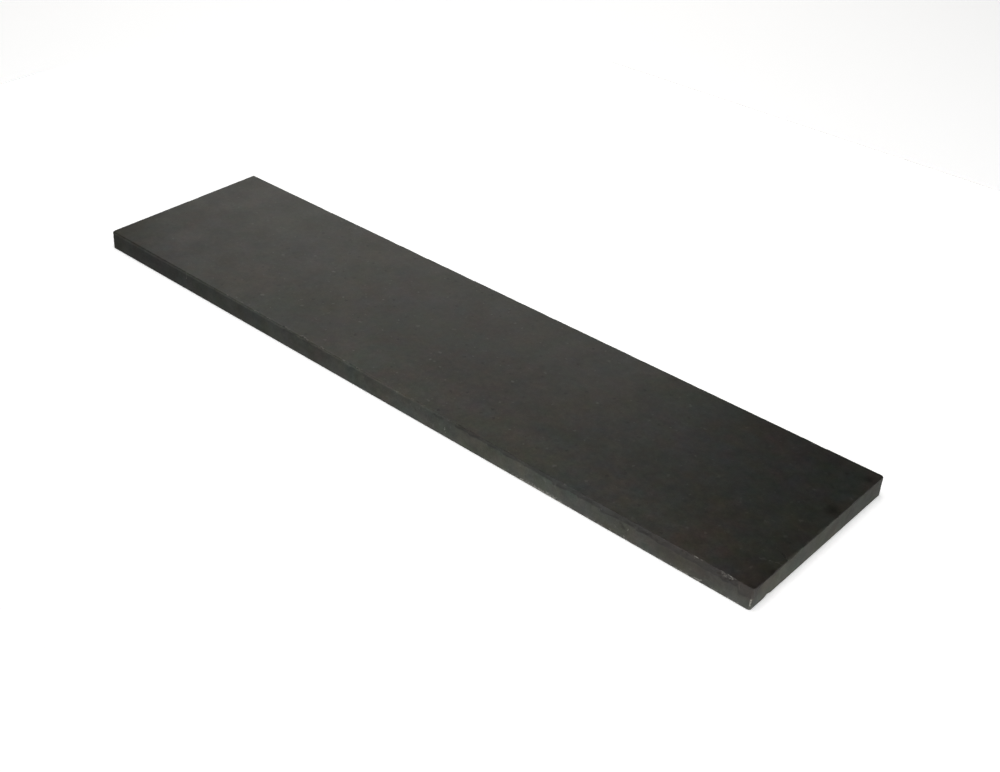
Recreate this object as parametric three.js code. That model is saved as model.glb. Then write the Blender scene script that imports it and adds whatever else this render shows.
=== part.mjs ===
// Basalt pond edging stone: one sawn slab that lies flat along the rim of a pond.
// Millimetres, +Z up. The origin is the middle of the bed, the face that the stone lies on.
// +X runs along the stone, and -Y is its front: the long edge that faces the water.
//
// The stone is one closed surface. A profile runs from the middle of the bed, out to the side,
// up the side and back to the middle of the top, and it is carried once round the plan.

import * as THREE from 'three';
import { ParametricGeometry } from 'three/addons/geometries/ParametricGeometry.js';
import { mergeVertices } from 'three/addons/utils/BufferGeometryUtils.js';

// ---- Driving dimensions ----

const LENGTH = 1000;
const WIDTH = 250;
const THICKNESS = 25;

const RIM = 22; // how far in from the sides the worked edges can reach on the top and the bed
const CORNER_STEP = 3; // spacing of the stations next to an upright corner
const CORNER_REACH = 12; // the breaks of two sides grow into each other over this distance
const STATIONS = { front: 220, back: 76, end: 44 }; // steps along each kind of side

// The sawn top arris is eased or broken all the way round.
// `back` is how far a break runs over the top, and `down` how far it runs down the side.
// `swell` shapes the break between them: 2 is rounded like a worn edge, 1 is a flat facet,
// and less than 1 is hollow, as where a flake came off.
const FRONT_EASING = [
  { at: 0, back: 1.6, down: 3.2, swell: 2 },
  { at: 260, back: 1.3, down: 2.8, swell: 1.8 },
  { at: 520, back: 1.0, down: 3.0, swell: 1.4 },
  { at: 700, back: 1.2, down: 3.8, swell: 1.1 },
  { at: 860, back: 2.2, down: 4.8, swell: 0.95 },
  { at: 890, back: 3.0, down: 6.0, swell: 0.95 },
  { at: 1000, back: 3.0, down: 6.4, swell: 0.95 },
];
const PLAIN_EASING = { back: 0.5, down: 0.8, swell: 1.3 };

// Flakes struck off the top arris. Each is deepest where it starts and runs out along the side.
const FRONT_FLAKES = [
  { at: 340, run: 12, back: 2.6, down: 4.2 },
  { at: 371, run: 16, back: 2.8, down: 4.4 },
  { at: 404, run: 12, back: 2.2, down: 4.0 },
  { at: 456, run: 20, back: 2.0, down: 4.4 },
  { at: 560, run: 14, back: 1.8, down: 3.4 },
  { at: 594, run: 18, back: 1.6, down: 4.4 },
  { at: 624, run: 18, back: 2.0, down: 4.6 },
  { at: 644, run: 16, back: 2.0, down: 4.8 },
  { at: 671, run: 16, back: 1.6, down: 4.8 },
  { at: 692, run: 22, back: 1.8, down: 5.2 },
  { at: 760, run: 32, back: 1.8, down: 7.2 },
  { at: 792, run: 19, back: 1.8, down: 6.4 },
  { at: 811, run: 11, back: 1.8, down: 5.6 },
  { at: 822, run: 32, back: 2.2, down: 8.0 },
  { at: 866, run: 22, back: 2.8, down: 6.4 },
  { at: 890, run: 31, back: 3.2, down: 6.7 },
  { at: 921, run: 22, back: 3.3, down: 7.0 },
  { at: 944, run: 22, back: 3.3, down: 7.3 },
  { at: 967, run: 17, back: 3.2, down: 8.0 },
  { at: 985, run: 40, back: 3.0, down: 12.0 },
];
const RIGHT_END_FLAKES = [
  { at: 0, run: 7, back: 0.8, down: 12.0 },
  { at: 7, run: 12, back: 0.6, down: 3.0 },
  { at: 36, run: 24, back: 0.8, down: 3.2 },
  { at: 60, run: 32, back: 2.6, down: 1.2 },
  { at: 96, run: 9, back: 2.8, down: 1.2 },
  { at: 107, run: 11, back: 0.8, down: 2.8 },
  { at: 118, run: 18, back: 3.0, down: 1.2 },
  { at: 138, run: 18, back: 1.6, down: 0.9 },
  { at: 158, run: 28, back: 0.7, down: 2.4 },
  { at: 186, run: 24, back: 0.8, down: 3.4 },
  { at: 212, run: 26, back: 0.8, down: 2.6 },
];
const SMALL_FLAKE = { run: 34, back: 1.3, down: 2.8 }; // the largest on the back and the left end

// Shallow shells burst out of the front face: middle, half sizes and depth.
const FRONT_SCOOPS = [
  { at: 834, height: 9, halfLength: 22, halfHeight: 11, depth: 0.9 },
  { at: 893, height: 11, halfLength: 20, halfHeight: 7, depth: 0.5 },
  { at: 946, height: 9, halfLength: 17, halfHeight: 7, depth: 0.5 },
  { at: 655, height: 8, halfLength: 26, halfHeight: 7, depth: 0.4 },
];

// Crushed spots along the bed arris: how far each reaches under the stone and up its side.
const NICK = { under: 0.25, up: 0.3 };
const NICK_SWING = 0.4; // the depth of a nick changes by this share along the side
const NICK_WAVES = [0.31, 0.83]; // radians per millimetre of the two waves that change it
const BED_NOTCH = { at: 30, halfWidth: 6, under: 1.6, up: 2.4 }; // near the front, on the right end

// Upright corners: how far each is knocked in low down and high up, and where the change is.
const CORNER_KNOCKS = [
  { low: 0.7, high: 0.9, change: 12 },
  { low: 1.4, high: 0.7, change: 16 },
  { low: 0.6, high: 0.8, change: 10 },
  { low: 0.9, high: 0.5, change: 14 },
];

// ---- The four sides, in order round the plan, counter-clockwise from above ----

const SIDES = [
  {
    length: LENGTH,
    steps: STATIONS.front,
    start: new THREE.Vector2(-LENGTH / 2, -WIDTH / 2),
    along: new THREE.Vector2(1, 0),
    inward: new THREE.Vector2(0, 1),
    easing: FRONT_EASING,
    flakes: FRONT_FLAKES,
    scoops: FRONT_SCOOPS,
  },
  {
    length: WIDTH,
    steps: STATIONS.end,
    start: new THREE.Vector2(LENGTH / 2, -WIDTH / 2),
    along: new THREE.Vector2(0, 1),
    inward: new THREE.Vector2(-1, 0),
    easing: [{ at: 0, ...PLAIN_EASING }],
    flakes: RIGHT_END_FLAKES,
    scoops: [],
    notch: BED_NOTCH,
  },
  {
    length: LENGTH,
    steps: STATIONS.back,
    start: new THREE.Vector2(LENGTH / 2, WIDTH / 2),
    along: new THREE.Vector2(-1, 0),
    inward: new THREE.Vector2(0, -1),
    easing: [{ at: 0, ...PLAIN_EASING }],
    flakes: scatteredFlakes(LENGTH, 17, 0.41),
    scoops: [],
  },
  {
    length: WIDTH,
    steps: STATIONS.end,
    start: new THREE.Vector2(-LENGTH / 2, WIDTH / 2),
    along: new THREE.Vector2(0, -1),
    inward: new THREE.Vector2(1, 0),
    easing: [{ at: 0, ...PLAIN_EASING }],
    flakes: scatteredFlakes(WIDTH, 5, 0.17),
    scoops: [],
  },
];

// Flakes spread by the golden ratio, so that they never bunch or line up.
function scatteredFlakes(length, count, offset) {
  const golden = (Math.sqrt(5) - 1) / 2;
  const flakes = [];
  for (let i = 0; i < count; i += 1) {
    const place = (offset + i * golden) % 1;
    const size = (offset * 3 + i * golden * golden * 1.7) % 1;
    flakes.push({
      at: length * (0.04 + 0.9 * place),
      run: SMALL_FLAKE.run * (0.4 + 0.6 * size),
      back: SMALL_FLAKE.back * (0.5 + 0.5 * size * size),
      down: SMALL_FLAKE.down * (0.5 + 0.5 * (1 - size) * place),
    });
  }
  return flakes;
}

// ---- The worked edges at one place along a side ----

// The value of a list of { at, ... } rows at a distance along the side, by straight lines.
function between(rows, distance, key) {
  let low = rows[0];
  for (const high of rows) {
    if (high.at >= distance) {
      const share = high.at > low.at ? (distance - low.at) / (high.at - low.at) : 0;
      return low[key] + (high[key] - low[key]) * share;
    }
    low = high;
  }
  return low[key];
}

// How much of a flake is left at a distance: all of it where it starts, none after its run.
function flakeShare(flake, distance) {
  const share = (distance - flake.at) / flake.run;
  return share < 0 || share > 1 ? 0 : 1 - share * share;
}

function ownBreak(side, distance) {
  const reach = {
    back: between(side.easing, distance, 'back'),
    down: between(side.easing, distance, 'down'),
  };
  for (const flake of side.flakes) {
    const share = flakeShare(flake, distance);
    reach.back = Math.max(reach.back, flake.back * share);
    reach.down = Math.max(reach.down, flake.down * share);
  }
  return reach;
}

// The break of a side, which meets the next side's break half way at each corner.
function topBreak(index, distance) {
  const side = SIDES[index];
  const reach = ownBreak(side, distance);
  const next = SIDES[(index + 1) % 4];
  const previous = SIDES[(index + 3) % 4];
  const corners = [
    { away: distance, own: ownBreak(side, 0), other: ownBreak(previous, previous.length) },
    { away: side.length - distance, own: ownBreak(side, side.length), other: ownBreak(next, 0) },
  ];
  for (const corner of corners) {
    const share = Math.max(0, 1 - corner.away / CORNER_REACH);
    const shared = (corner.own.down + corner.other.down) / 2;
    reach.down += (shared - reach.down) * share;
  }
  return { ...reach, swell: between(side.easing, distance, 'swell') };
}

// The nick in the bed arris, which is shallow at the corners so that two sides meet there.
function bedNick(index, distance) {
  const side = SIDES[index];
  const away = Math.min(distance, side.length - distance);
  const wave = Math.sin(distance * NICK_WAVES[0] + index) * Math.sin(distance * NICK_WAVES[1]);
  const depth = 1 + NICK_SWING * wave * Math.min(1, away / CORNER_REACH);
  const nick = { under: NICK.under * depth, up: NICK.up * depth };
  if (side.notch) {
    const share = Math.max(0, 1 - Math.abs(distance - side.notch.at) / side.notch.halfWidth);
    nick.under += side.notch.under * share;
    nick.up += side.notch.up * share;
  }
  return nick;
}

// How deep the shells burst out of a side are at one point of it.
function scoopDepth(side, distance, z) {
  let depth = 0;
  for (const scoop of side.scoops) {
    const across = (distance - scoop.at) / scoop.halfLength;
    const up = (z - scoop.height) / scoop.halfHeight;
    depth = Math.max(depth, scoop.depth * (1 - across * across - up * up));
  }
  return depth;
}

// How far an upright corner is knocked in at one height. Only the station on the corner moves.
function cornerKnock(index, distance, z) {
  const atStart = distance === 0;
  if (!atStart && distance !== SIDES[index].length) return 0;
  const knock = CORNER_KNOCKS[atStart ? index : (index + 1) % 4];
  return z < knock.change ? knock.low : knock.high;
}

// ---- The profile at one place: rows of [distance in from the side, height] ----

const SIDE_SHARES = [0.15, 0.35, 0.55, 0.75, 0.9]; // heights between the bed nick and the top break
const BREAK_SHARES = [0, 0.5, 1]; // steps over the break, from its lower line to its upper one
const LEVELS = 4 + SIDE_SHARES.length + BREAK_SHARES.length + 2;
const MIDDLE = Infinity; // stands for the middle of the bed or the top

function profile(index, distance) {
  const side = SIDES[index];
  const broken = topBreak(index, distance);
  const nick = bedNick(index, distance);
  const foot = nick.up;
  const shoulder = THICKNESS - broken.down;
  const points = [
    [MIDDLE, 0],
    [RIM, 0],
    [nick.under, 0],
    [0, foot],
  ];
  for (const share of SIDE_SHARES) {
    const z = foot + (shoulder - foot) * share;
    points.push([scoopDepth(side, distance, z), z]);
  }
  for (const share of BREAK_SHARES) {
    const inset = broken.back * share ** broken.swell;
    const z = THICKNESS - broken.down * (1 - share) ** broken.swell;
    points.push([inset, z]);
  }
  points.push([RIM, THICKNESS]);
  points.push([MIDDLE, THICKNESS]);
  return points.map(([inset, z]) => {
    const onSide = z > 0 && inset < RIM;
    return [onSide ? inset + cornerKnock(index, distance, z) : inset, z];
  });
}

// ---- The surface: u runs once round the plan, v runs up the profile ----

const STEPS_ROUND = SIDES.reduce((sum, side) => sum + side.steps, 0);

// Which side a step is on, and how far along it. The steps next to a corner are short.
function station(step) {
  let left = step % STEPS_ROUND;
  let index = 0;
  while (left >= SIDES[index].steps) {
    left -= SIDES[index].steps;
    index += 1;
  }
  const side = SIDES[index];
  if (left === 0) return { index, distance: 0 };
  const even = (side.length - 2 * CORNER_STEP) / (side.steps - 2);
  return { index, distance: CORNER_STEP + (left - 1) * even };
}

function stoneSurface(u, v, target) {
  const { index, distance } = station(Math.round(u * STEPS_ROUND));
  const level = Math.round(v * (LEVELS - 1));
  const side = SIDES[index];
  const [inset, z] = profile(index, distance)[level];
  if (inset === MIDDLE) {
    target.set(0, 0, z);
    return;
  }
  // The sides at both ends push this one together as much as they are set in at the same level.
  const previous = (index + 3) % 4;
  const next = (index + 1) % 4;
  const pushStart = profile(previous, SIDES[previous].length)[level][0];
  const pushEnd = profile(next, 0)[level][0];
  const offCentre = (2 * distance) / side.length - 1;
  const moved = distance + pushStart * Math.max(0, -offCentre) - pushEnd * Math.max(0, offCentre);
  const point = side.start.clone();
  point.addScaledVector(side.along, moved).addScaledVector(side.inward, inset);
  target.set(point.x, point.y, z);
}

// Merges the seam and the two middles, and drops the triangles that shrink to a line there.
function closed(geometry) {
  geometry.deleteAttribute('normal');
  geometry.deleteAttribute('uv');
  const merged = mergeVertices(geometry, 1e-3);
  const corners = merged.index.array;
  const kept = [];
  for (let i = 0; i < corners.length; i += 3) {
    const [a, b, c] = [corners[i], corners[i + 1], corners[i + 2]];
    if (a !== b && b !== c && c !== a) kept.push(a, b, c);
  }
  merged.setIndex(kept);
  merged.computeVertexNormals();
  return merged;
}

function edgingStone() {
  const surface = new ParametricGeometry(stoneSurface, STEPS_ROUND, LEVELS - 1);
  const basalt = new THREE.MeshStandardMaterial({
    color: 0x3b3b38,
    roughness: 0.55,
    metalness: 0,
    flatShading: true,
  });
  const stone = new THREE.Mesh(closed(surface), basalt);
  stone.name = 'edging_stone';
  return stone;
}

const group = new THREE.Group();
group.add(edgingStone());

export default group;
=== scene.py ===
"""Basalt pond edging stone: the honed slab with its broken front arris, on a plain studio floor.

The file is laid out as a Blender add-on and is run as a script. Lengths are in metres. The stone
lies in the frame of its CAD model: +X along the stone, -Y its front, +Z up, and the origin in the
middle of its bed.
"""

import math

import bpy
import numpy as np
from mathutils import Matrix, Vector


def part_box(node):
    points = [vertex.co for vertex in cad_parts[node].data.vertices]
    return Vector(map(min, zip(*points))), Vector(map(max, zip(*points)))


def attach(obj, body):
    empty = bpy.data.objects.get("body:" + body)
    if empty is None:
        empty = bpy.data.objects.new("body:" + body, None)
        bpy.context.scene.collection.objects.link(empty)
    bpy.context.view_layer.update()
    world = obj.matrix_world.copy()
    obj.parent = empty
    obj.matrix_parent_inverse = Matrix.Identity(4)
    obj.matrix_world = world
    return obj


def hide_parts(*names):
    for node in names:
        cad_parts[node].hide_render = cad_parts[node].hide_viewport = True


bl_info = {
    "name": "Basalt Pond Edging Stone",
    "version": (1, 0, 0),
    "blender": (4, 5, 0),
    "location": "View3D > Sidebar > Edging Stone",
    "description": "A honed basalt edging slab with a broken front arris, and a plain studio",
    "category": "Object",
}

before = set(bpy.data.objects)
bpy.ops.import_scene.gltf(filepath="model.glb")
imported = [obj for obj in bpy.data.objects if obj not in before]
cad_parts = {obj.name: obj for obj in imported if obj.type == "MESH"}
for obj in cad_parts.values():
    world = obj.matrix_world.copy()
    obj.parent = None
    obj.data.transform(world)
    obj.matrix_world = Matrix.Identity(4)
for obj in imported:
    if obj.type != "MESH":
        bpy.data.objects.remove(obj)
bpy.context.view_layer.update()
STONE_LOW, STONE_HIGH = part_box("edging_stone")
MM = 0.001

# ---- The stone's worked edges, the same as in its CAD model ----

# The front top arris is eased, and more and more broken towards the right end. `back` is how far
# the break runs over the top, `down` how far down the front. `swell` shapes the break between
# them: 2 is round, 1 is flat and less than 1 is hollow.
FRONT_EASING_AT = MM * np.array([0, 260, 520, 700, 860, 890, 1000])
FRONT_EASING_BACK = MM * np.array([1.6, 1.3, 1.0, 1.2, 2.2, 3.0, 3.0])
FRONT_EASING_DOWN = MM * np.array([3.2, 2.8, 3.0, 3.8, 4.8, 6.0, 6.4])
FRONT_EASING_SWELL = np.array([2.0, 1.8, 1.4, 1.1, 0.95, 0.95, 0.95])
PLAIN_EASING = {"back": 0.5 * MM, "down": 0.8 * MM, "swell": 1.3}

# Flakes struck off the top arris: start, run, back and down. Each is deepest at its start.
FRONT_FLAKES = MM * np.array([
    (340, 12, 2.6, 4.2), (371, 16, 2.8, 4.4), (404, 12, 2.2, 4.0), (456, 20, 2.0, 4.4),
    (560, 14, 1.8, 3.4), (594, 18, 1.6, 4.4), (624, 18, 2.0, 4.6), (644, 16, 2.0, 4.8),
    (671, 16, 1.6, 4.8), (692, 22, 1.8, 5.2), (760, 32, 1.8, 7.2), (792, 19, 1.8, 6.4),
    (811, 11, 1.8, 5.6), (822, 32, 2.2, 8.0), (866, 22, 2.8, 6.4), (890, 31, 3.2, 6.7),
    (921, 22, 3.3, 7.0), (944, 22, 3.3, 7.3), (967, 17, 3.2, 8.0), (985, 40, 3.0, 12.0),
])
RIGHT_END_FLAKES = MM * np.array([
    (0, 7, 0.8, 12.0), (7, 12, 0.6, 3.0), (36, 24, 0.8, 3.2), (60, 32, 2.6, 1.2),
    (96, 9, 2.8, 1.2), (107, 11, 0.8, 2.8), (118, 18, 3.0, 1.2), (138, 18, 1.6, 0.9),
    (158, 28, 0.7, 2.4), (186, 24, 0.8, 3.4), (212, 26, 0.8, 2.6),
])
SMALL_FLAKE = {"run": 34 * MM, "back": 1.3 * MM, "down": 2.8 * MM}

# Shallow shells burst out of the front face: middle, height, half length, half height and depth.
FRONT_SCOOPS = MM * np.array([
    (834, 9, 22, 11, 0.9), (893, 11, 20, 7, 0.5), (946, 9, 17, 7, 0.5), (655, 8, 26, 7, 0.4),
])
BED_NICK = {"under": 0.25 * MM, "up": 0.3 * MM, "swing": 0.4}
BED_NOTCH = {"at": 30 * MM, "half_width": 6 * MM, "under": 1.6 * MM, "up": 2.4 * MM}
CORNER_REACH = 12 * MM  # the breaks of two sides grow into each other over this distance
RIM = 22 * MM  # how far in from the sides the worked edges can reach

# Upright corners, from the front left one: the width of each worn facet low down and high up,
# and the height where it changes.
CORNER_FACETS = MM * np.array([(1.0, 1.3, 12), (1.8, 1.2, 15), (1.0, 1.4, 10), (1.4, 0.8, 14)])

# ---- Finer wear and painted light, which only this surface has ----

# Along the front: how much of the break is a real break rather than a worn round arris, and how
# fresh the break is. Fresh stone is paler.
FRONT_BREAK_AT = MM * np.array([0, 250, 420, 500, 600, 640, 875, 900, 1000])
FRONT_BREAK_BROKEN = np.array([0.1, 0.15, 0.5, 0.3, 0.35, 0.8, 1, 1, 1])
FRONT_BREAK_FRESH = np.array([0, 0, 0, 0, 0, 0, 0.05, 0.6, 1])

# Along the front: how much dirt and painted shade darken its face, and how far its arris is worn
# pale and given a painted sheen. The other faces hold little dirt, the same all along.
FRONT_DIRT_AND_SHADE_AT = MM * np.array([0, 90, 200, 330, 400, 600, 690, 750, 810, 870, 930, 1000])
FRONT_DIRT_AND_SHADE = np.array([0.75, 0.9, 0.6, 0.5, 0.38, 0.38, 0.2, 0.14, 0.4, 0.6, 0.57, 0.45])
FRONT_WORN_AND_SHEEN_AT = MM * np.array([0, 120, 200, 380, 450, 560, 640])
FRONT_WORN_AND_SHEEN = np.array([0, 0.1, 0.65, 1, 0.85, 0.3, 0])
OTHERS_SOILED = 0.14

# How rough the break is, from 0 to 1: along the front, and on the other sides.
FRONT_ROUGH_AT = MM * np.array([0, 300, 560, 860, 1000])
FRONT_ROUGH = np.array([0.12, 0.3, 0.55, 0.8, 0.8])
OTHERS_ROUGH = 0.35

# Bruised nicks in the front's upper break line: start and end along the front. The ones in the
# worn arris on the left are paler than the ones in the broken band.
BRIGHT_NICKS = MM * np.array([
    (236, 240), (289, 297), (311, 318), (343, 352), (371, 386), (403, 414), (444, 449), (468, 473),
    (533, 537), (559, 566), (585, 590), (626, 630), (654, 657), (673, 676), (770, 776),
])
PALE_NICK, DULL_NICK = 0.55, 0.35
PALE_NICKS_END = 480 * MM
# Painted shade in the foot of the front's break, under its overhanging flakes: start and end along the
# front.
SHADED_FEET = MM * np.array([
    (344, 366), (378, 391), (404, 410), (459, 465), (592, 604), (624, 637), (643, 657), (671, 681),
    (690, 704), (746, 760), (766, 776), (803, 811), (821, 845), (966, 977), (985, 992),
])
PALE_LINE = MM * np.array([932, 976])  # where the upper break line itself is crushed
CRUSHED_STRETCH = MM * np.array([965, 978])  # the roughest part of the break, next to the corner
BLOOM = MM * np.array([714, 764])  # where the powder along the bed arris reaches higher up
# How crushed the front's bed arris is, from 0 to 1, at distances along it.
CRUSHED_BED_AT = MM * np.array([0, 300, 600, 700, 730, 765, 800, 900, 930, 970, 1000])
CRUSHED_BED = np.array([0.32, 0.34, 0.37, 0.40, 0.50, 0.50, 0.43, 0.41, 0.48, 0.44, 0.42])
CORNER_PALENESS = (0.25, 0.5, 0.2, 0.25)  # of each upright corner's facet, in its lower part

# How many steps the surface has along each side, and its rows up the profile.
SIDE_STEPS = (1080, 330, 560, 330)
CORNER_STEP = 0.3 * MM
CORNER_STEPS = 8
SIDE_SHARES = np.linspace(0, 1, 13)[1:-1]
BREAK_SHARES = np.linspace(0, 1, 11)
BED_RINGS = MM * np.array([22, 8, 3])
TOP_RINGS = MM * np.array([0.2, 1.0, 3.0, 8.0])
EDGE_GUARD = 0.35 * MM  # a row this far from a break line keeps the line crisp

SEED_EDGE, SEED_BREAK, SEED_FACE, SEED_BRUISE = 11, 23, 37, 51
# Attributes that the material reads.
MARKS = ("honed", "broken", "fresh", "dirt_and_painted_shade", "worn_and_sheen", "painted_shade", "bruised")

# ---- The stone's pattern ----

# Noises, in waves to the metre: patches of more and less polish, clouds, mottle and grain, the
# crumbled surface of a break, and the powder and the holes of bruised stone.
POLISH, CLOUDS, MOTTLE, GRAIN = 26.0, 48.0, 150.0, 620.0
CRUMBLE, POWDER, HOLES = 260.0, 360.0, 300.0
# Drifts of hue: waves to the metre, and how far red, green and blue each drift.
HUE_DRIFTS = ((16.0, (0.36, 0.14, 0.36)), (60.0, (0.36, 0.16, 0.3)))

# Scattered minerals, and pits painted dark as shade: cells to the metre, radius in cells and share
# of cells kept, and for the three sets of pale flecks also their strength.
CRYSTALS = (420.0, 0.16, 0.5)
PITS = (62.0, 0.09, 0.6)
DARK_SPECKS = (74.0, 0.22, 0.95)
FLECKS = ((52.0, 0.15, 0.9, 0.13), (85.0, 0.15, 0.8, 0.12), (120.0, 0.17, 0.7, 0.10))
FLECKS_MIDDLE = (-0.02, 0.02, 0.025)  # where flecks and specks are strongest
FLECKS_NEAR, FLECKS_FAR = 0.15, 0.42  # distances from there over which they weaken

# Colours of minerals, marks and painted shade, and the tint that rust gives.
CRYSTAL_COLOUR = (0.3, 0.3, 0.28, 1)
FLECK_COLOUR = (0.3, 0.295, 0.27, 1)
DARK_MINERAL_AND_SHADE_COLOUR = (0.004, 0.004, 0.004, 1)
DARK_SPOT_COLOUR = (0.006, 0.005, 0.004, 1)
PAINTED_SHADE_COLOUR = (0.005, 0.0048, 0.004, 1)
RUST_TINT = (0.97, 0.89, 0.86)

# Single marks: pale lines, each with its two ends and half width, and dark spots, each with its
# middle and reach. The fourth pale line runs along the first shell's steep edge. The dark spots on
# the front face are painted shade under chips and in that shell's crescent; the others darken the
# right end's top arris.
PALE_LINE_MARKS = (
    ((0.479, -0.078, 0.025), (0.499, -0.074, 0.025), 0.0006),
    ((-0.343, -0.125, 0.016), (-0.341, -0.124, 0.025), 0.0009),
    ((0.109, -0.125, 0.006), (0.108, -0.125, 0.012), 0.0008),
    ((0.3555, -0.125, 0.0135), (0.3565, -0.124, 0.019), 0.0007),
    ((0.353, -0.125, 0.0035), (0.355, -0.125, 0.0038), 0.0010),
    ((0.434, -0.125, 0.0026), (0.446, -0.125, 0.0038), 0.0008),
)
DARK_SPOTS = (
    ((0.490, 0.036, 0.025), 0.013), ((0.496, -0.122, 0.025), 0.006),
    ((0.499, -0.088, 0.024), 0.007), ((0.492, 0.108, 0.025), 0.010),
    ((0.4745, -0.1245, 0.0225), 0.004), ((0.481, -0.1245, 0.0215), 0.005),
    ((0.346, -0.1245, 0.0175), 0.0035), ((0.350, -0.1245, 0.0145), 0.004),
)
# Rusty patches: the two ends of each, and its reach.
RUSTY_PATCHES = (
    ((0.385, -0.125, 0.015), (0.440, -0.125, 0.010), 0.013),
    ((-0.105, -0.125, 0.004), (-0.090, -0.125, 0.018), 0.012),
    ((0.420, -0.108, 0.025), (0.490, -0.104, 0.025), 0.032),
)
# A painted sheen that makes the top paler along its front arris: its two ends, and its reach.
PAINTED_SHEEN_STRIP = ((-0.06, -0.125, 0.025), (0.43, -0.125, 0.025), 0.075)


def lattice_noise(x, y, seed):
    """Smooth noise from -1 to 1. Every whole point of a lattice has its own random value, and a
    place takes the mix of the four round it, weighted by 3t^2 - 2t^3 in both directions."""
    count = 512
    table = np.random.default_rng(seed).uniform(-1, 1, (count, count))
    x, y = np.broadcast_arrays(x, y)
    column, row = np.floor(x).astype(int), np.floor(y).astype(int)
    u, v = x - column, y - row
    u, v = u * u * (3 - 2 * u), v * v * (3 - 2 * v)
    left, right = column % count, (column + 1) % count
    low, high = row % count, (row + 1) % count
    below = table[left, low] * (1 - u) + table[right, low] * u
    above = table[left, high] * (1 - u) + table[right, high] * u
    return below * (1 - v) + above * v


def layered_noise(x, y, seed, layers=3):
    """The sum of noises, each at twice the pitch and half the height of the one before, over the
    sum of their heights."""
    total = sum(lattice_noise(x * 2**i, y * 2**i, seed + i) / 2**i for i in range(layers))
    return total / (2 - 2 ** (1 - layers))


def smooth_step(low, high, value):
    """0 below low, 1 above high, and 3t^2 - 2t^3 between them."""
    t = np.clip((value - low) / (high - low), 0, 1)
    return t * t * (3 - 2 * t)


def scattered_flakes(length, count, offset):
    """Rows like FRONT_FLAKES, spread along a side by the golden ratio so that they never bunch."""
    golden = (math.sqrt(5) - 1) / 2
    i = np.arange(count)
    place = (offset + i * golden) % 1
    size = (offset * 3 + i * golden * golden * 1.7) % 1
    return np.column_stack([
        length * (0.04 + 0.9 * place),
        SMALL_FLAKE["run"] * (0.4 + 0.6 * size),
        SMALL_FLAKE["back"] * (0.5 + 0.5 * size * size),
        SMALL_FLAKE["down"] * (0.5 + 0.5 * (1 - size) * place),
    ])


class Side:
    """One of the four sides: where it starts, which way it runs, and what is worn off it."""

    def __init__(self, index, start, along, inward, length, steps, flakes, scoops=None):
        self.index = index
        self.start, self.along, self.inward = (np.array(v, float) for v in (start, along, inward))
        self.length = length
        self.flakes = flakes
        self.scoops = scoops
        near = CORNER_STEP * np.arange(CORNER_STEPS)
        far = near[-1] + CORNER_STEP
        even = np.linspace(far, length - far, steps)
        self.stations = np.r_[near, even, length - near[::-1]]

    def own_break(self, s):
        """Back, down and swell of the top break, before the corners: the easing, or the flake
        there if it reaches further. A flake keeps 1 - t^2 of its reach at share t of its run."""
        if self.index == 0:
            back = np.interp(s, FRONT_EASING_AT, FRONT_EASING_BACK)
            down = np.interp(s, FRONT_EASING_AT, FRONT_EASING_DOWN)
            swell = np.interp(s, FRONT_EASING_AT, FRONT_EASING_SWELL)
        else:
            back, down, swell = (np.full(s.shape, PLAIN_EASING[k]) for k in ("back", "down", "swell"))
        for at, run, flake_back, flake_down in self.flakes:
            t = (s - at) / run
            left = np.where((t >= 0) & (t <= 1), 1 - t * t, 0)
            back = np.maximum(back, flake_back * left)
            down = np.maximum(down, flake_down * left)
        return back, down, swell


def make_sides(shape):
    """The four sides in order round the plan, counter-clockwise from above."""
    x, y = shape.length / 2, shape.width / 2
    long_side, end = shape.length, shape.width
    front, right, back, left = SIDE_STEPS
    return [
        Side(0, (-x, -y), (1, 0), (0, 1), long_side, front, FRONT_FLAKES, FRONT_SCOOPS),
        Side(1, (x, -y), (0, 1), (-1, 0), end, right, RIGHT_END_FLAKES),
        Side(2, (x, y), (-1, 0), (0, -1), long_side, back, scattered_flakes(long_side, 17, 0.41)),
        Side(3, (-x, y), (0, -1), (1, 0), end, left, scattered_flakes(end, 5, 0.17)),
    ]


def roughness_along(side, s):
    """How rough a side's break is, from 0 to 1. The front roughens to the right, and is roughest
    on the crushed stretch."""
    if side.index != 0:
        return np.full(s.shape, OTHERS_ROUGH)
    start, end = CRUSHED_STRETCH
    crushed = smooth_step(start - 6 * MM, start, s) * smooth_step(end + 2 * MM, end - 6 * MM, s)
    return np.interp(s, FRONT_ROUGH_AT, FRONT_ROUGH) + 0.9 * crushed


def top_break(sides, side, s, walked):
    """The break with its small irregularities, and with `down` shared by two sides at a corner:
    at distance a from it, the break takes 1 - a / CORNER_REACH of the mean of both."""
    back, down, swell = side.own_break(s)
    rough = roughness_along(side, s)
    back = back + 0.5 * MM * rough * layered_noise(walked / (5 * MM), 0.3, SEED_EDGE)
    down = down + 1.0 * MM * rough * layered_noise(walked / (7 * MM), 7.7, SEED_EDGE)
    before, after = sides[side.index - 1], sides[(side.index + 1) % 4]
    ends = (
        (s, side.own_break(np.zeros(1))[1], before.own_break(np.array([before.length]))[1]),
        (side.length - s, side.own_break(np.array([side.length]))[1], after.own_break(np.zeros(1))[1]),
    )
    for away, own, other in ends:
        share = np.clip(1 - away / CORNER_REACH, 0, 1)
        down = down + ((own + other) / 2 - down) * share
    return np.maximum(back, 0.15 * MM), np.maximum(down, 0.3 * MM), swell


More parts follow.
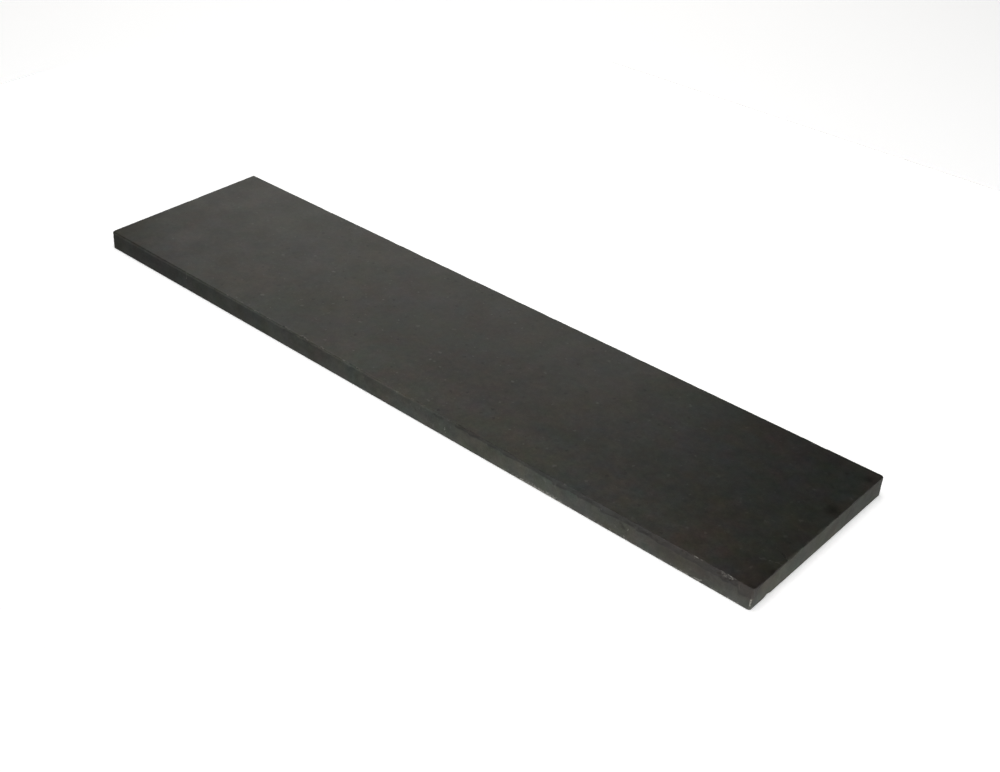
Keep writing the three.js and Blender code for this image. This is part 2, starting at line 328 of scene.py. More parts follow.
def bed_nick(side, s, walked):
    """How far the bed arris is crushed under the stone and up the side. It is even at the corners,
    so that two sides meet there."""
    away = np.minimum(s, side.length - s)
    wave = layered_noise(walked / (6 * MM), 3.1, SEED_BRUISE)
    depth = 1 + BED_NICK["swing"] * 1.6 * wave * np.clip(away / CORNER_REACH, 0, 1)
    under, up = BED_NICK["under"] * depth, BED_NICK["up"] * depth
    if side.index == 1:
        share = np.clip(1 - np.abs(s - BED_NOTCH["at"]) / BED_NOTCH["half_width"], 0, 1)
        under, up = under + BED_NOTCH["under"] * share, up + BED_NOTCH["up"] * share
    return np.maximum(under, 0.1 * MM), np.maximum(up, 0.12 * MM)


def scoop_depth(side, s, z):
    """Depth of the shells burst out of the front: depth * (1 - a^2 - b^2) inside each ellipse,
    where a and b are shares of its half sizes. The first one breaks off steeply on its upper
    right, where its rim, which is returned as a mark from 0 to 1, is given painted shade."""
    depth, rim = np.zeros((2, *np.broadcast(s, z).shape))
    if side.scoops is None:
        return depth, rim
    for i, (at, height, half_length, half_height, deepest) in enumerate(side.scoops):
        a, b = (s - at) / half_length, (z - height) / half_height
        inside = np.clip(1 - a * a - b * b, 0, 1)
        if i == 0:
            steep = smooth_step(-0.2, 0.6, a + 0.4 * b)
            inside = inside * (1 - steep) + np.sqrt(inside) * steep
            edge = smooth_step(0, 0.12, inside) * smooth_step(0.55, 0.3, inside)
            rim = edge * smooth_step(0.1, 0.5, a) * smooth_step(0.1, 0.4, b)
        depth = np.maximum(depth, deepest * inside)
    return depth, rim


def corner_facet(side, s, z):
    """How far an upright corner's worn facet is set in, and how pale it is. It is set in by half
    its width less the distance to the corner. The width changes from its low value to its high
    one over 3 mm of height, and the paleness ends there."""
    facet, pale = np.zeros((2, *np.broadcast(s, z).shape))
    ends = ((s, side.index), (side.length - s, (side.index + 1) % 4))
    for away, corner in ends:
        low, high, change = CORNER_FACETS[corner]
        upper = smooth_step(change - 1.5 * MM, change + 1.5 * MM, z)
        width = low + (high - low) * upper
        width = width * (1 + 0.35 * lattice_noise(z / (2.2 * MM), corner + 0.5, SEED_EDGE))
        own = np.clip(width / 2 - away, 0, None)
        facet = facet + own
        fade = (1 - 0.8 * upper) * smooth_step(2 * MM, 5 * MM, z)
        pale = np.maximum(pale, CORNER_PALENESS[corner] * fade * smooth_step(0, 0.35 * MM, own))
    return facet, pale


def finish_along(side, s, back, down):
    """How much of the break is broken, how fresh it is, how much soiling and painted shade darken
    the face and how far the arris is worn pale and given a painted sheen, at distances along a side."""
    if side.index == 0:
        tables = (
            (FRONT_BREAK_AT, FRONT_BREAK_BROKEN),
            (FRONT_BREAK_AT, FRONT_BREAK_FRESH),
            (FRONT_DIRT_AND_SHADE_AT, FRONT_DIRT_AND_SHADE),
            (FRONT_WORN_AND_SHEEN_AT, FRONT_WORN_AND_SHEEN),
        )
        return [np.interp(s, at, value) for at, value in tables]
    # A break that reaches further back than down shows the paler stone of the side.
    breaking = smooth_step(0.42, 0.62, down / (back + down))
    return breaking, np.zeros(s.shape), np.full(s.shape, OTHERS_SOILED), np.zeros(s.shape)


def plain_profile(side, top, bed, breaking, thick):
    """The profile at every station of a side, as rows from the bed's rim up to the top's rim.

    `top` is how far the break runs back and down, and its swell: at share t of the way up it, the
    inset is back * t^swell and the height is down * (1 - t)^swell under the top. `bed` is how far
    the bed arris is crushed under the stone and up the side, and `breaking` how much of the break
    is broken. Returns the inset from the side, the height, the marks honed and broken, and t,
    which is 0 off the break."""
    back, down, swell = top
    under, up = bed
    rows = []

    def row(inset, height, honed=0, broken=0, t=0):
        """Adds a row. A value that is the same all along the side is spread over its stations."""
        rows.append(np.broadcast_arrays(inset, height, honed, broken, t, side.stations)[:5])

    for ring in BED_RINGS:
        row(ring, 0)
    row(under, 0, broken=0.6)
    row(under * 0.42, up * 0.38, broken=0.8)
    row(0, up, broken=0.6)
    low, high = up + EDGE_GUARD, thick - down - EDGE_GUARD
    row(0, low)
    for share in SIDE_SHARES:
        row(0, low + (high - low) * share)
    row(0, high)
    for t in BREAK_SHARES:
        # The front's arris is worn evenly. On the other sides a break stays pale up to its end.
        worn_in = t if side.index == 0 else smooth_step(0.7, 1, t)
        honed = 1 if t == 1 else worn_in * (1 - breaking)
        row(back * t**swell, thick - down * (1 - t) ** swell, honed, breaking, t)
    for ring in TOP_RINGS:
        row(back + ring, thick, honed=1)
    row(RIM, thick, honed=1)
    return np.array(rows).transpose(1, 2, 0)


def side_profile(sides, side, shape):
    """The worn profile at every station of a side.

    Returns the inset from the side, the height, and the MARKS, from 0 to 1, for each point:
    honed (the flat top), broken (a break), fresh (a newer, browner break), then a film of soiling
    that on the front face is also painted shade, darker high up, then a pale worn arris that on
    the front also carries a painted sheen, then painted shade in the foot of a break and on a
    shell's steep rim, and bruised (crushed, powdery stone)."""
    s, thick = side.stations, shape.thickness
    walked = s + sum(other.length for other in sides[: side.index])
    back, down, swell = top_break(sides, side, s, walked)
    under, up = bed_nick(side, s, walked)
    rough = roughness_along(side, s)
    breaking, newness, dirt_and_shade, wear_and_painted_light = finish_along(side, s, back, down)
    profile = plain_profile(side, (back, down, swell), (under, up), breaking, thick)
    inset, height, honed, broken, t = profile

    # From here on, what changes along the side is a column against the profile's rows.
    s, walked, back, down, up = (value[:, None] for value in (s, walked, back, down, up))
    rough, newness, dirt_and_shade, wear_and_painted_light = (value[:, None] for value in (rough, newness, dirt_and_shade, wear_and_painted_light))
    shoulder = thick - down

    # The break's own relief, square to the line from its lower edge to its upper one.
    span = np.hypot(back, down)
    across = t * span
    relief = layered_noise(walked / (3.2 * MM), across / (2.2 * MM), SEED_BREAK)
    relief = relief + 0.5 * np.abs(lattice_noise(walked / (9 * MM), across / (3 * MM), SEED_BREAK + 9))
    depth = 0.42 * MM * rough * np.sqrt(np.sin(math.pi * t).clip(0)) * relief
    depth = depth * np.minimum(1, span / (4 * MM))
    inset = inset + depth * down / span
    height = height - depth * back / span

    # The side face: shells, and the faint unevenness of a sawn face.
    face = (height > up) & (height < shoulder) & (broken == 0)
    shells, rim = scoop_depth(side, s, height)
    uneven = 0.05 * MM * (1 + layered_noise(walked / (24 * MM), height / (9 * MM), SEED_FACE))
    inset = inset + np.where(face, shells + uneven, 0)
    # Painted shade in the foot of the break, and on the first shell's steep rim.
    painted_shade = np.maximum(painted_foot_shade(side, s, height - shoulder), np.where(face, rim, 0))

    # The dirt and painted shade are darker higher up the face, and the worn arris with its painted sheen
    # fades over the top.
    higher = smooth_step(2 * MM, 17 * MM, height) - 0.5
    dirt_and_painted_shade = np.where(face, np.clip(dirt_and_shade + 0.32 * higher, 0, 1), 0)
    on_top = (height == thick) * smooth_step(4 * MM, 0, inset - back)
    # The front's arris is worn pale and given a painted sheen, which fades over 4 mm of the top.
    worn_and_sheen = wear_and_painted_light * np.where(height < thick, smooth_step(0.05, 0.35, t), 0.7 * on_top)

    facet, pale = corner_facet(side, s, height)
    inset = inset + np.where(inset < 6 * MM, facet, 0)
    fresh = newness * (t > 0) * (t < 1) * (0.3 + 0.7 * t)
    upper = np.where(height < thick, smooth_step(0.5, 0.9, t), 0)
    upper = upper + (height == thick) * smooth_step(3 * MM, 1 * MM, inset - back)
    bruised = np.maximum(bruises(side, s, walked, height, t, upper), pale * (height > 0))
    return inset, height, honed, broken, fresh, dirt_and_painted_shade, worn_and_sheen, painted_shade, bruised


def stretch(s, start, end, fade):
    """1 between start and end, and 0 further than fade outside them."""
    return smooth_step(start - fade, start, s) * smooth_step(end + fade, end, s)


def painted_foot_shade(side, s, above_foot):
    """Painted shade in the foot of the break, from 1 mm under its lower edge to 2.5 mm over it."""
    strip = smooth_step(-1.0 * MM, 0.2 * MM, above_foot) * smooth_step(2.5 * MM, 0.9 * MM, above_foot)
    if side.index != 0:
        return 0.25 * strip
    shade_along = np.full(s.shape, 0.15)
    for start, end in SHADED_FEET:
        shade_along = np.maximum(shade_along, stretch(s, start, end, 2.5 * MM))
    return shade_along * strip


def bruises(side, s, walked, height, t, upper):
    """How much of the stone is crushed: along the bed arris, and at the top. On the front that is
    in nicks of the upper break line, along that line near the corner, and over the rough stretch
    there, and on the other sides faintly along the upper line. `t` is the share of the way up the
    break, and `upper` is 1 along the break's upper line."""
    wave = lattice_noise(walked / (9 * MM), height / (4 * MM), SEED_BRUISE + 5)
    strength, reach = 0.36, 6.5 * MM * (1 + 0.3 * wave)
    if side.index == 0:
        strength = np.interp(s, CRUSHED_BED_AT, CRUSHED_BED)
        reach = reach + 4.5 * MM * stretch(s, *BLOOM, 10 * MM)
    bruised = strength * smooth_step(reach, 1.6 * MM, height) * (height > 0)
    if side.index != 0:
        return np.maximum(bruised, 0.15 * smooth_step(0.6, 0.95, t) * (1 + wave))
    for start, end in BRIGHT_NICKS:
        paleness = PALE_NICK if start < PALE_NICKS_END else DULL_NICK
        bruised = np.maximum(bruised, paleness * stretch(s, start, end, 2 * MM) * upper)
    line = stretch(s, *PALE_LINE, 25 * MM) * smooth_step(0.75, 0.95, t) * (0.85 + 0.3 * wave)
    rough = stretch(s, *CRUSHED_STRETCH, 3 * MM) * smooth_step(0.3, 0.6, t)
    return np.maximum(bruised, np.maximum(0.55 * line, 0.45 * rough))


def stone_surface(shape):
    """The whole surface as a grid: columns round the plan, rows up the profile.

    A point is its side's start, plus the distance along the side, plus the inset inward. The
    distance is pushed together by the insets of the sides at both ends, most at the corners and
    not at all in the middle of the side, so that neighbouring sides meet in a mitre."""
    sides = make_sides(shape)
    profiles = [side_profile(sides, side, shape) for side in sides]
    points, marks = [], []
    for side, (inset, height, *side_marks) in zip(sides, profiles):
        from_start = profiles[side.index - 1][0][-1]
        from_end = profiles[(side.index + 1) % 4][0][0]
        s = side.stations[:, None]
        off_centre = 2 * s / side.length - 1
        moved = s + from_start * np.clip(-off_centre, 0, None) - from_end * np.clip(off_centre, 0, None)
        plan = side.start + moved[..., None] * side.along + inset[..., None] * side.inward
        points.append(np.concatenate([plan, height[..., None]], 2)[:-1])
        marks.append(np.stack(side_marks, 2)[:-1])
    return np.concatenate(points), np.concatenate(marks)


def ring_faces(columns, rows):
    """Quads between neighbouring columns and rows, with one flat face over each open ring."""
    index = np.arange(columns * rows).reshape(columns, rows)
    ahead = np.roll(index, -1, axis=0)
    quads = np.stack([index[:, :-1], ahead[:, :-1], ahead[:, 1:], index[:, 1:]], 2).reshape(-1, 4)
    return [*quads.tolist(), index[:, -1].tolist(), index[::-1, 0].tolist()]


def make_stone(shape):
    """The stone's mesh, with its marks as point attributes for the material."""
    points, marks = stone_surface(shape)
    columns, rows = points.shape[:2]
    mesh = bpy.data.meshes.new("honed_basalt_stone")
    mesh.from_pydata(points.reshape(-1, 3), [], ring_faces(columns, rows))
    for i, name in enumerate(MARKS):
        layer = mesh.attributes.new(name, "FLOAT", "POINT")
        layer.data.foreach_set("value", marks[..., i].ravel().astype(np.float32))
    mesh.shade_smooth()
    mesh.validate()
    stone = bpy.data.objects.new("honed_basalt_stone", mesh)
    bpy.context.scene.collection.objects.link(stone)
    return stone


# ---- Materials ----


class Nodes:
    """Adds nodes to a node tree and links them: a socket value may be a number, a colour or
    another node's output."""

    def __init__(self, tree):
        self.tree = tree
        tree.nodes.clear()

    def put(self, socket, value):
        if isinstance(value, bpy.types.NodeSocket):
            self.tree.links.new(value, socket)
        else:
            socket.default_value = value

    def add(self, kind, settings=None, **inputs):
        node = self.tree.nodes.new(kind)
        for name, value in (settings or {}).items():
            setattr(node, name, value)
        for name, value in inputs.items():
            self.put(node.inputs[name.replace("_", " ")], value)
        return node

    def math(self, operation, *values):
        node = self.add("ShaderNodeMath", {"operation": operation})
        for socket, value in zip(node.inputs, values):
            self.put(socket, value)
        return node.outputs[0]

    def vector(self, operation, *values):
        node = self.add("ShaderNodeVectorMath", {"operation": operation})
        for socket, value in zip(node.inputs, values):
            self.put(socket, value)
        is_number = operation in ("DOT_PRODUCT", "LENGTH", "DISTANCE")
        return node.outputs["Value" if is_number else "Vector"]

    def thrice(self, value):
        """A vector with the same number three times."""
        return self.add("ShaderNodeCombineXYZ", X=value, Y=value, Z=value).outputs[0]

    def ramp(self, value, low, high, to_low=0.0, to_high=1.0):
        """Maps low..high to to_low..to_high with a smooth step."""
        node = self.add(
            "ShaderNodeMapRange", {"interpolation_type": "SMOOTHSTEP"}, Value=value,
            From_Min=low, From_Max=high, To_Min=to_low, To_Max=to_high,
        )
        return node.outputs[0]

    def mix(self, share, first, second):
        """A colour between two colours."""
        node = self.add("ShaderNodeMix", {"data_type": "RGBA"})
        for socket, value in zip((node.inputs["Factor"], *node.inputs[6:8]), (share, first, second)):
            self.put(socket, value)
        return node.outputs[2]

    def blend(self, share, first, second):
        """A number between two numbers."""
        node = self.add("ShaderNodeMix")
        for socket, value in zip((node.inputs["Factor"], *node.inputs[2:4]), (share, first, second)):
            self.put(socket, value)
        return node.outputs[0]

    def noise(self, place, scale, detail=2.0, roughness=0.5, output="Fac"):
        node = self.add(
            "ShaderNodeTexNoise", Vector=place, Scale=scale, Detail=detail, Roughness=roughness
        )
        return node.outputs[output]

    def bent(self, place, scale, reach):
        """Coordinates pushed about by about a tenth of reach, so that what is drawn on them is
        uneven."""
        push = self.vector("SUBTRACT", self.noise(place, scale, output="Color"), (0.5, 0.5, 0.5))
        return self.vector("MULTIPLY_ADD", push, (reach, reach, reach), place)

    def flecks(self, place, scale, radius, kept):
        """Spots in some cells of a Voronoi pattern: within radius of a cell's middle, and only in
        the share of the cells given by kept, where they are also more or less strong."""
        cells = self.add("ShaderNodeTexVoronoi", Vector=place, Scale=scale)
        spot = self.ramp(cells.outputs["Distance"], radius, radius * 0.3)
        lottery = self.add("ShaderNodeSeparateColor", Color=cells.outputs["Color"]).outputs[0]
        return self.math("MULTIPLY", spot, self.ramp(lottery, 1 - kept, 1))

    def near_line(self, place, start, end, reach):
        """1 on the line between two points, falling to 0 at reach from it."""
        along = Vector(end) - Vector(start)
        offset = self.vector("SUBTRACT", place, start)
        share = self.math("DIVIDE", self.vector("DOT_PRODUCT", offset, along), along.length_squared)
        share = self.math("MAXIMUM", self.math("MINIMUM", share, 1.0), 0.0)
        nearest = self.vector("MULTIPLY", self.thrice(share), along)
        return self.ramp(self.vector("DISTANCE", offset, nearest), reach, reach * 0.3)

    def near_point(self, place, point, reach):
        """1 at a point, falling to 0 at reach from it."""
        return self.ramp(self.vector("DISTANCE", place, point), reach, 0.0)


def worked_colour(n, place, marks, finish):
    """The colours of the worked surfaces. Their hues drift between brown, olive and grey, each
    channel by its own noise, and further on the honed top, because its gloss hides some of it."""
    colour = n.mix(marks["honed"], (*finish.sawn_colour, 1), (*finish.honed_colour, 1))
    colour = n.mix(marks["broken"], colour, (*finish.broken_colour, 1))
    colour = n.mix(marks["fresh"], colour, (*finish.fresh_colour, 1))
    for scale, reach in HUE_DRIFTS:
        hue = n.vector("SUBTRACT", n.noise(place, scale, 2.0, output="Color"), (0.5, 0.5, 0.5))
        hue = n.vector("MULTIPLY", hue, n.blend(marks["honed"], 1.0, 1.6))
        colour = n.vector("MULTIPLY", colour, n.vector("MULTIPLY_ADD", hue, reach, (1, 1, 1)))
    return colour


def stone_tone(n, place, marks, grain):
    """How light the stone is against its own colour: clouds, which are stronger on the sides,
    grain and mottle, all times the front arris worn pale with a painted sheen, the soiling with
    its painted shade, and the painted sheen along the top's front arris."""
    # The worn arris is made paler: wear and a painted sheen.
    wear_and_painted_light = n.math("MULTIPLY_ADD", marks["worn_and_sheen"], 0.9, 1.0)
    # Dirt, and on the front face painted shade, darken the stone.
    wear_and_painted_light = n.math("MULTIPLY", wear_and_painted_light, n.math("MULTIPLY_ADD", marks["dirt_and_painted_shade"], -0.5, 1.0))
    # A painted sheen that makes the top paler along its front arris.
    sheen_strip = n.math("MULTIPLY", n.near_line(place, *PAINTED_SHEEN_STRIP), marks["honed"])
    wear_and_painted_light = n.math("MULTIPLY_ADD", sheen_strip, 0.32, wear_and_painted_light)
    clouds = n.ramp(n.noise(place, CLOUDS, 3.0, 0.6), 0.3, 0.7, -1.0, 1.0)
    tone = n.math("MULTIPLY_ADD", clouds, n.blend(marks["honed"], 0.16, 0.09), 1.0)
    tone = n.math("MULTIPLY", tone, n.ramp(grain, 0.25, 0.75, 0.88, 1.14))
    tone = n.math("MULTIPLY", tone, n.ramp(n.noise(place, MOTTLE, 2.0, 0.6), 0.3, 0.7, 0.9, 1.1))
    return n.math("MULTIPLY", tone, wear_and_painted_light)


def with_minerals(n, place, colour, marks, pits):
    """The colour with fine crystals, pale flecks, dark specks and pits darkened with painted shade.
    Flecks and specks are strongest round the middle of the top, and weak on the sides."""
    crystals = n.flecks(place, *CRYSTALS)
    colour = n.mix(n.math("MULTIPLY", crystals, 0.18), colour, CRYSTAL_COLOUR)
    uneven = n.bent(place, 260.0, 0.006)
    from_middle = n.vector("DISTANCE", place, FLECKS_MIDDLE)
    strong = n.ramp(from_middle, FLECKS_FAR, FLECKS_NEAR, 0.7, 1.3)
    strong = n.math("MULTIPLY", strong, n.blend(marks["honed"], 0.45, 1.0))
    for scale, radius, kept, strength in FLECKS:
        flecks = n.math("MULTIPLY", n.flecks(uneven, scale, radius, kept), strong)
        colour = n.mix(n.math("MULTIPLY", flecks, strength), colour, FLECK_COLOUR)
    specks = n.math("MULTIPLY", n.flecks(uneven, *DARK_SPECKS), strong)
    # Dark mineral specks, and painted shade in the pits.
    dark = n.math("MAXIMUM", n.math("MULTIPLY", pits, 0.5), n.math("MULTIPLY", specks, 0.55))
    return n.mix(dark, colour, DARK_MINERAL_AND_SHADE_COLOUR)


def with_single_marks(n, place, colour):
    """The colour with its dark spots, rusty patches and pale lines, all with uneven edges. The dark
    spots on the front face are painted shade.
    """
    uneven = n.bent(place, 120.0, 0.008)
    for middle, reach in DARK_SPOTS:
        # The spots on the front face are painted shade under chips and in the first shell's crescent.
        dark_spot = n.near_point(uneven, middle, reach)
        colour = n.mix(n.math("MULTIPLY", dark_spot, 0.7), colour, DARK_SPOT_COLOUR)
    for start, end, reach in RUSTY_PATCHES:
        rust = n.near_line(uneven, start, end, reach)
        colour = n.mix(rust, colour, n.vector("MULTIPLY", colour, RUST_TINT))
    for start, end, half_width in PALE_LINE_MARKS:
        line = n.near_line(uneven, start, end, half_width)
        colour = n.mix(n.math("MULTIPLY", line, 0.22), colour, FLECK_COLOUR)
    return colour


def bruised_stone(n, place, bruised):
    """Powder and holes, from 0 to 1: the more the stone is bruised, the more of it is crushed to
    powder or pitted with holes, and where it is bruised most, powder fills the holes."""
    powder = n.ramp(n.math("ADD", n.noise(place, POWDER, 3.0, 0.6), bruised), 0.88, 1.12)
    holes = n.ramp(n.math("ADD", n.noise(place, HOLES, 3.0, 0.6), bruised), 0.95, 1.15)
    return powder, n.math("MULTIPLY", holes, n.ramp(bruised, 0.95, 0.7))


def stone_roughness(n, place, marks, powder, finish):
    """The worked surfaces' roughness, a little more or less by patches, and dull powder."""
    rough = n.blend(marks["honed"], finish.sawn_roughness, finish.honed_roughness)
    rough = n.blend(marks["broken"], rough, finish.broken_roughness)
    patches = n.ramp(n.noise(place, POLISH, 4.0, 0.6), 0.3, 0.7, -0.03, 0.03)
    return n.blend(powder, n.math("ADD", rough, patches), 0.95)


def stone_relief(n, place, marks, grain, sunken, finish):
    """Fine relief in metres: grain all over, crumbled stone on breaks, and sunken spots."""
    fine = n.math("MULTIPLY", n.math("SUBTRACT", grain, 0.5), finish.sawn_relief)
    fine = n.math("MULTIPLY", fine, n.blend(marks["honed"], 1.0, finish.honed_relief / finish.sawn_relief))
    coarse = n.math("SUBTRACT", n.noise(place, CRUMBLE, 4.0, 0.65), 0.5)
    coarse = n.math("MULTIPLY", n.math("MULTIPLY", coarse, marks["broken"]), finish.broken_relief)
    deep = n.math("MULTIPLY", sunken, -finish.pit_depth)
    return n.math("ADD", n.math("ADD", fine, coarse), deep)


def basalt_material(finish):
    """Dense basalt: honed dark on top, paler where sawn, dull where broken, pale where bruised."""
    material = bpy.data.materials.new("honed_basalt")
    material.use_nodes = True
    n = Nodes(material.node_tree)
    place = n.add("ShaderNodeTexCoord").outputs["Object"]
    marks = {
        name: n.add("ShaderNodeAttribute", {"attribute_name": name}).outputs["Fac"] for name in MARKS
    }
    grain = n.noise(place, GRAIN, 2.0, 0.6)
    pits = n.flecks(n.bent(place, 200.0, 0.005), *PITS)
    powder, holes = bruised_stone(n, place, marks["bruised"])

    colour = worked_colour(n, place, marks, finish)
    colour = n.vector("MULTIPLY", colour, n.thrice(stone_tone(n, place, marks, grain)))
    colour = with_minerals(n, place, colour, marks, pits)
    colour = with_single_marks(n, place, colour)
    # Painted shade in the holes and in the foot of the break.
    dark = n.math("MAXIMUM", n.math("MULTIPLY", holes, 0.8), n.math("MULTIPLY", marks["painted_shade"], 0.5))
    colour = n.mix(dark, colour, PAINTED_SHADE_COLOUR)
    thick = n.math("MULTIPLY", powder, n.ramp(marks["bruised"], 0.2, 0.9, 0.15, 0.85))
    colour = n.mix(thick, colour, (*finish.bruised_colour, 1))

    rough = stone_roughness(n, place, marks, powder, finish)
    relief = stone_relief(n, place, marks, grain, n.math("ADD", pits, holes), finish)
    bump = n.add("ShaderNodeBump", Strength=1.0, Distance=1.0, Height=relief)
    shader = n.add(
        "ShaderNodeBsdfPrincipled", Base_Color=colour, Roughness=rough, Normal=bump.outputs[0]
    )
    shader.inputs["IOR"].default_value = 1.5
    shader.inputs["Specular IOR Level"].default_value = finish.specular
    output = n.add("ShaderNodeOutputMaterial")
    material.node_tree.links.new(shader.outputs[0], output.inputs["Surface"])
    return material


# ---- Settings ----


class StoneShape(bpy.types.PropertyGroup):
    """Outer sizes of the stone."""

    length: bpy.props.FloatProperty(
        name="Length", description="Along the stone", default=STONE_HIGH.x - STONE_LOW.x, unit="LENGTH"
    )
    width: bpy.props.FloatProperty(
        name="Width", description="From front to back", default=STONE_HIGH.y - STONE_LOW.y, unit="LENGTH"
    )
    thickness: bpy.props.FloatProperty(
        name="Thickness", description="From bed to top", default=STONE_HIGH.z - STONE_LOW.z, unit="LENGTH"
    )


def colour_property(name, description, default):
    return bpy.props.FloatVectorProperty(
        name=name, description=description, default=default, subtype="COLOR", size=3, min=0, max=1
    )


class StoneFinish(bpy.types.PropertyGroup):
    """Colours and surface of the basalt."""

    honed_colour: colour_property("Honed", "The ground, flat top", (0.0312, 0.0307, 0.0258))
    sawn_colour: colour_property("Sawn", "The sawn sides and bed", (0.0325, 0.0335, 0.0283))
    broken_colour: colour_property("Broken", "Where the arris broke", (0.0113, 0.0110, 0.0093))
    fresh_colour: colour_property("Fresh", "Where it broke lately", (0.0140, 0.0123, 0.0101))
    bruised_colour: colour_property("Bruised", "Crushed, powdery stone", (0.26, 0.255, 0.23))
    honed_roughness: bpy.props.FloatProperty(
        name="Honed roughness", description="Of the top", default=0.32, subtype="FACTOR"
    )
    sawn_roughness: bpy.props.FloatProperty(
        name="Sawn roughness", description="Of the sides", default=0.85, subtype="FACTOR"
    )
    broken_roughness: bpy.props.FloatProperty(
        name="Broken roughness", description="Of the breaks", default=0.6, subtype="FACTOR"
    )
    specular: bpy.props.FloatProperty(
        name="Specular", description="Strength of the stone's gloss", default=0.2, subtype="FACTOR"
    )
    honed_relief: bpy.props.FloatProperty(
        name="Honed relief", description="Depth of the top's grain", default=0.000012, unit="LENGTH"
    )
    sawn_relief: bpy.props.FloatProperty(
        name="Sawn relief", description="Depth of the sides' grain", default=0.00005, unit="LENGTH"
    )
    broken_relief: bpy.props.FloatProperty(
        name="Broken relief", description="Depth of the breaks' grain", default=0.0005, unit="LENGTH"
    )
    pit_depth: bpy.props.FloatProperty(
        name="Pit depth", description="Of pits and holes", default=0.00008, unit="LENGTH"
    )


class StudioSettings(bpy.types.PropertyGroup):
    """Floor and lights of the stage."""

    floor_colour: colour_property("Floor", "The plain floor", (0.86, 0.86, 0.86))
    floor_glow: bpy.props.FloatProperty(
        name="Floor glow", description="Light that the floor gives of itself", default=0.55
    )
    overhead_power: bpy.props.FloatProperty(
        name="Overhead", description="Soft light from above", default=39.0, subtype="POWER"
    )
    window_power: bpy.props.FloatProperty(
        name="Window", description="Wide soft light from behind on the left", default=9.2, subtype="POWER"
    )
    window_colour: colour_property("Window colour", "Slightly warm", (1.0, 0.975, 0.915))
    end_power: bpy.props.FloatProperty(
        name="End strip", description="Low light off the front right corner", default=6.4, subtype="POWER"
    )
    end_colour: colour_property("End strip colour", "Slightly warm", (1.0, 0.985, 0.95))
    front_power: bpy.props.FloatProperty(
        name="Front strip", description="Low light in front of the right half", default=2.2, subtype="POWER"
    )
    back_power: bpy.props.FloatProperty(
        name="Back strip", description="Low light behind the stone", default=3.5, subtype="POWER"
    )
    left_power: bpy.props.FloatProperty(
        name="Left strip", description="Low light off the left end", default=2.0, subtype="POWER"
    )


# ---- Stage ----

CAMERA_TARGET = Vector((0.030, -0.1153, STONE_HIGH.z))
CAMERA_DISTANCE = 1.5757
CAMERA_AZIMUTH, CAMERA_ELEVATION, CAMERA_ROLL = 43.57, 33.963, 1.148  # degrees
CAMERA_LENS, CAMERA_SENSOR = 50.19, 36.0  # millimetres
CAMERA_SHIFT = 0.1


def direction(azimuth, elevation):
    """The unit vector from the stone towards a place at that azimuth, where 0 is in front of the
    stone and 90 beyond its right end, and that elevation, in degrees."""
    a, e = math.radians(azimuth), math.radians(elevation)
    return Vector((math.sin(a) * math.cos(e), -math.cos(a) * math.cos(e), math.sin(e)))


def make_camera():
    data = bpy.data.cameras.new("camera")
    data.lens, data.sensor_width = CAMERA_LENS, CAMERA_SENSOR
    data.shift_x = CAMERA_SHIFT
    camera = bpy.data.objects.new("camera", data)
    back = direction(CAMERA_AZIMUTH, CAMERA_ELEVATION)
    roll = Matrix.Rotation(math.radians(CAMERA_ROLL), 4, "Z")
    turn = (-back).to_track_quat("-Z", "Y").to_matrix().to_4x4() @ roll
    camera.matrix_world = Matrix.Translation(CAMERA_TARGET + back * CAMERA_DISTANCE) @ turn
    bpy.context.scene.collection.objects.link(camera)
    bpy.context.scene.camera = camera


def area_light(name, azimuth, elevation, distance, size, power, target=(0, 0, 0)):
    """A soft rectangular light at a direction and distance from the target, turned to face it."""
    data = bpy.data.lights.new(name, "AREA")
    data.shape = "RECTANGLE"
    data.size, data.size_y = size
    data.energy = power
    light = bpy.data.objects.new(name, data)
    away = direction(azimuth, elevation)
    light.location = Vector(target) + away * distance
    light.rotation_euler = (-away).to_track_quat("-Z", "Y").to_euler()
    light.visible_camera = False
    bpy.context.scene.collection.objects.link(light)
    return light


def make_floor(settings):
    """A wide flat floor just under the bed."""
    half, height = 12.0, STONE_LOW.z - 0.0002
    corners = np.array([(-1, -1), (1, -1), (1, 1), (-1, 1)]) * half
    mesh = bpy.data.meshes.new("floor")
    mesh.from_pydata(np.column_stack([corners, np.full(4, height)]), [], [(0, 1, 2, 3)])
    floor = bpy.data.objects.new("floor", mesh)
    bpy.context.scene.collection.objects.link(floor)
    material = bpy.data.materials.new("studio_floor")
    material.use_nodes = True
    shader = material.node_tree.nodes["Principled BSDF"]
    shader.inputs["Base Color"].default_value = (*settings.floor_colour, 1)
    shader.inputs["Roughness"].default_value = 0.9
    shader.inputs["Specular IOR Level"].default_value = 0.0
    shader.inputs["Emission Color"].default_value = (1, 1, 1, 1)
    shader.inputs["Emission Strength"].default_value = settings.floor_glow
    mesh.materials.append(material)


def make_world():
    """A studio's surroundings: pale down at the horizon, dim higher up."""
    world = bpy.data.worlds.new("studio")
    world.use_nodes = True
    n = Nodes(world.node_tree)
    ray = n.add("ShaderNodeTexCoord").outputs["Generated"]
    height = n.add("ShaderNodeSeparateXYZ", Vector=ray).outputs["Z"]
    strength = n.ramp(height, 0.0, 0.3, 0.6, 0.02)
    background = n.add("ShaderNodeBackground", Color=(1, 1, 1, 1), Strength=strength)
    output = n.add("ShaderNodeOutputWorld")
    world.node_tree.links.new(background.outputs[0], output.inputs["Surface"])
    bpy.context.scene.world = world


# ---- Operators and panel ----


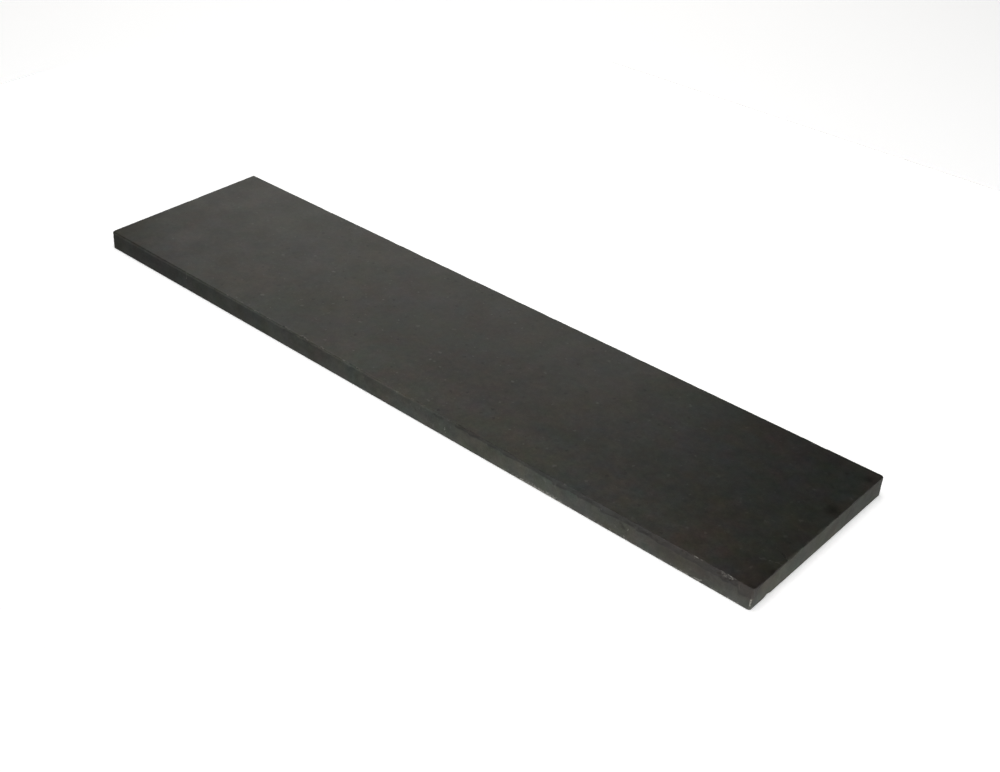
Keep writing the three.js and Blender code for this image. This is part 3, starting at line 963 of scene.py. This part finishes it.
class EDGING_OT_stone(bpy.types.Operator):
    """Builds the honed basalt stone with its broken front arris"""

    bl_idname = "edging.stone"
    bl_label = "Edging stone"

    def execute(self, context):
        stone = make_stone(context.scene.edging_shape)
        stone.data.materials.append(basalt_material(context.scene.edging_finish))
        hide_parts("edging_stone")
        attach(stone, "root")
        return {"FINISHED"}


class EDGING_OT_stage(bpy.types.Operator):
    """Sets up the floor, the soft lights and the camera"""

    bl_idname = "edging.stage"
    bl_label = "Studio stage"

    def execute(self, context):
        studio = context.scene.edging_studio
        make_floor(studio)
        make_world()
        area_light("overhead", 20, 84, 2.6, (1.3, 1.3), studio.overhead_power)
        window = area_light("window", 221, 27, 2.6, (1.9, 1.2), studio.window_power, (-0.1, 0, 0))
        window.data.color = studio.window_colour
        # The strips lie lower than the stone's top, so they light its sides alone.
        end = area_light("end_strip", 60, 1.2, 0.6, (0.4, 0.02), studio.end_power, (0.5, -0.12, 0))
        end.data.color = studio.end_colour
        area_light("front_strip", 0, 1.4, 0.5, (0.5, 0.02), studio.front_power, (0.25, -0.12, 0))
        area_light("back_strip", 180, 0.9, 0.8, (0.9, 0.02), studio.back_power, (0, 0.12, 0))
        area_light("left_strip", 270, 1.2, 0.6, (0.3, 0.02), studio.left_power, (-0.5, 0, 0))
        make_camera()
        context.scene.view_settings.view_transform = "Standard"
        return {"FINISHED"}


class EDGING_PT_panel(bpy.types.Panel):
    """Lists the stone's settings and the steps that build it"""

    bl_label = "Edging Stone"
    bl_idname = "EDGING_PT_panel"
    bl_space_type = "VIEW_3D"
    bl_region_type = "UI"
    bl_category = "Edging Stone"

    def draw(self, context):
        for group in ("edging_shape", "edging_finish", "edging_studio"):
            box = self.layout.box()
            settings = getattr(context.scene, group)
            for name in type(settings).__annotations__:
                box.prop(settings, name)
        self.layout.operator(EDGING_OT_stone.bl_idname)
        self.layout.operator(EDGING_OT_stage.bl_idname)


CLASSES = (StoneShape, StoneFinish, StudioSettings, EDGING_OT_stone, EDGING_OT_stage, EDGING_PT_panel)


def register():
    for cls in CLASSES:
        bpy.utils.register_class(cls)
    bpy.types.Scene.edging_shape = bpy.props.PointerProperty(type=StoneShape)
    bpy.types.Scene.edging_finish = bpy.props.PointerProperty(type=StoneFinish)
    bpy.types.Scene.edging_studio = bpy.props.PointerProperty(type=StudioSettings)


def unregister():
    del bpy.types.Scene.edging_studio
    del bpy.types.Scene.edging_finish
    del bpy.types.Scene.edging_shape
    for cls in reversed(CLASSES):
        bpy.utils.unregister_class(cls)


def main():
    register()
    bpy.ops.edging.stone()
    bpy.ops.edging.stage()


if __name__ == "__main__":
    main()
